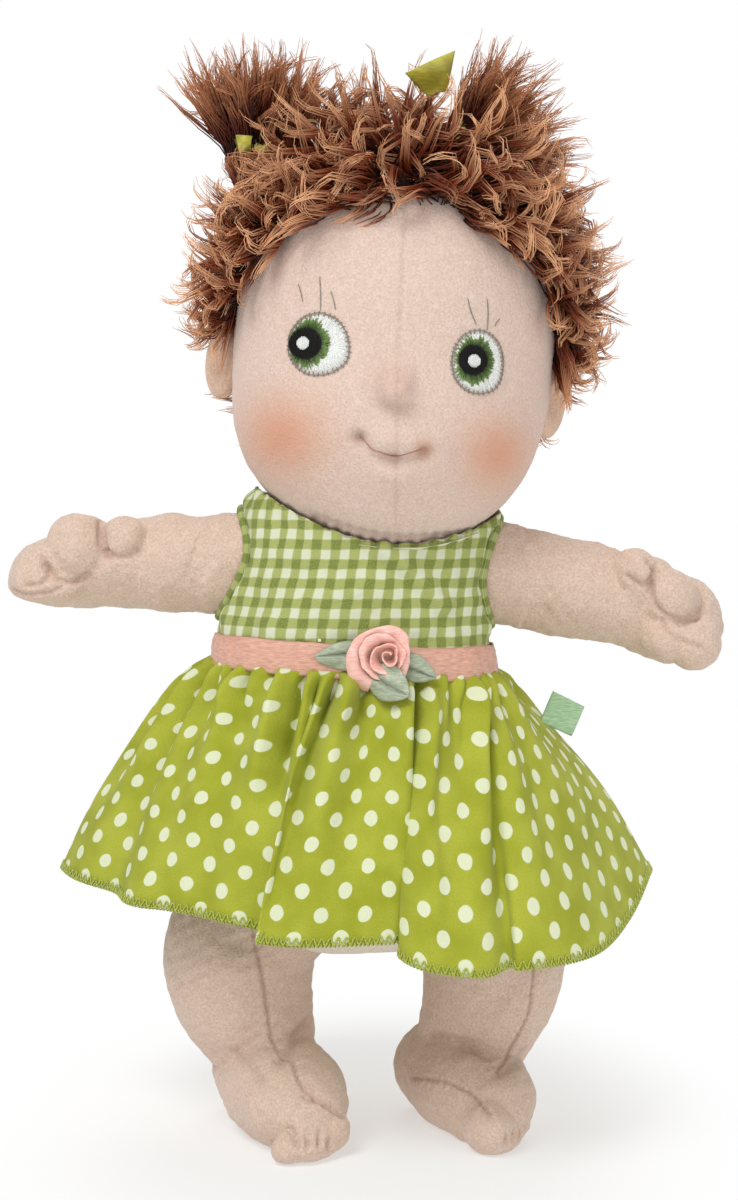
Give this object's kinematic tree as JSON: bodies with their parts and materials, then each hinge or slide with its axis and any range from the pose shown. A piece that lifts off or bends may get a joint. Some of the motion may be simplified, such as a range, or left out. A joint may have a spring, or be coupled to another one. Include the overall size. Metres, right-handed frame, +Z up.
{
  "type": "cloth doll",
  "caption": "Soft stuffed cloth doll with spread arms, bare feet, curly bunched hair and a gathered dotted skirt; head, arms and legs swing at their seams.",
  "frame": {"origin": "floor point under the middle of the doll's box, at the soles", "axes": "+Z up from soles to hair; the face looks along -Y; +X to the doll's left hand"},
  "size_m": [0.2138, 0.1344, 0.3299],
  "materials": {
    "torso_cloth": "plain weave",
    "gingham": "fine gingham check",
    "belt_satin": "satin",
    "dotted_cotton": "printed polka dots",
    "overlock_thread": "thread",
    "tag_satin": "satin",
    "rose_satin": "satin",
    "leaf_satin": "satin",
    "velour_skin": "short soft pile",
    "ear_cloth": "short soft pile",
    "white_thread": "satin stitch",
    "green_thread": "satin stitch",
    "black_thread": "satin stitch",
    "grey_thread": "stem stitch",
    "mouth_thread": "thread",
    "curly_hair": "curly mohair-like fibre",
    "hair_satin": "satin"
  },
  "bodies": {
    "trunk": {"torso": "torso_cloth", "bodice_front": "gingham", "bodice_back_left": "gingham", "bodice_back_right": "gingham", "back_placket": "gingham", "right_armhole_binding": "gingham", "left_armhole_binding": "gingham", "waist_ribbon": "belt_satin", "skirt": "dotted_cotton", "hem_overlock": "overlock_thread", "side_tag": "tag_satin", "ribbon_rose": "rose_satin", "rose_leaf_left": "leaf_satin", "rose_leaf_right": "leaf_satin", "rose_leaf_lower": "leaf_satin"},
    "neck_body": {"neck": "torso_cloth"},
    "head_body": {"head": "velour_skin", "right_ear": "ear_cloth", "right_eye_white": "white_thread", "right_eye_iris": "green_thread", "right_eye_pupil": "black_thread", "right_eye_glint": "white_thread", "right_eye_lashes": "grey_thread", "left_ear": "ear_cloth", "left_eye_white": "white_thread", "left_eye_iris": "green_thread", "left_eye_pupil": "black_thread", "left_eye_glint": "white_thread", "left_eye_lashes": "grey_thread", "mouth_stitch": "mouth_thread", "wig": "curly_hair", "right_hair_bunch": "curly_hair", "right_hair_ribbon": "hair_satin", "left_hair_bunch": "curly_hair", "left_hair_ribbon": "hair_satin"},
    "right_arm_body": {"right_arm": "velour_skin"},
    "left_arm_body": {"left_arm": "velour_skin"},
    "right_leg_body": {"right_leg": "velour_skin"},
    "left_leg_body": {"left_leg": "velour_skin"}
  },
  "joints": [
    {"name": "neck_nod", "type": "hinge", "parent": "trunk", "child": "neck_body", "pos_m": [0.00199, -0.00079, 0.168], "axis": [0.9954, 0, -0.0958], "range_deg": [-15, 5]},
    {"name": "head_turn", "type": "hinge", "parent": "neck_body", "child": "head_body", "pos_m": [0.00793, -0.00079, 0.22972], "axis": [0.0958, 0, 0.9954], "range_deg": [-35, 35]},
    {"name": "right_shoulder", "type": "hinge", "parent": "trunk", "child": "right_arm_body", "pos_m": [-0.03611, 0.00121, 0.1685], "axis": [0, 1, 0], "range_deg": [-26, 32], "deforming": ["bodice_front", "bodice_back_right", "right_armhole_binding"]},
    {"name": "left_shoulder", "type": "hinge", "parent": "trunk", "child": "left_arm_body", "pos_m": [0.03789, 0.00121, 0.166], "axis": [0, -1, 0], "range_deg": [-26, 42], "deforming": ["bodice_front", "bodice_back_left", "left_armhole_binding"]},
    {"name": "right_hip", "type": "hinge", "parent": "trunk", "child": "right_leg_body", "pos_m": [-0.02861, 0.00221, 0.07], "axis": [-1, 0, 0], "range_deg": [-20, 90], "deforming": ["skirt", "hem_overlock"]},
    {"name": "left_hip", "type": "hinge", "parent": "trunk", "child": "left_leg_body", "pos_m": [0.03039, 0.00221, 0.07], "axis": [-1, 0, 0], "range_deg": [-20, 90], "deforming": ["skirt", "hem_overlock"]}
  ]
}
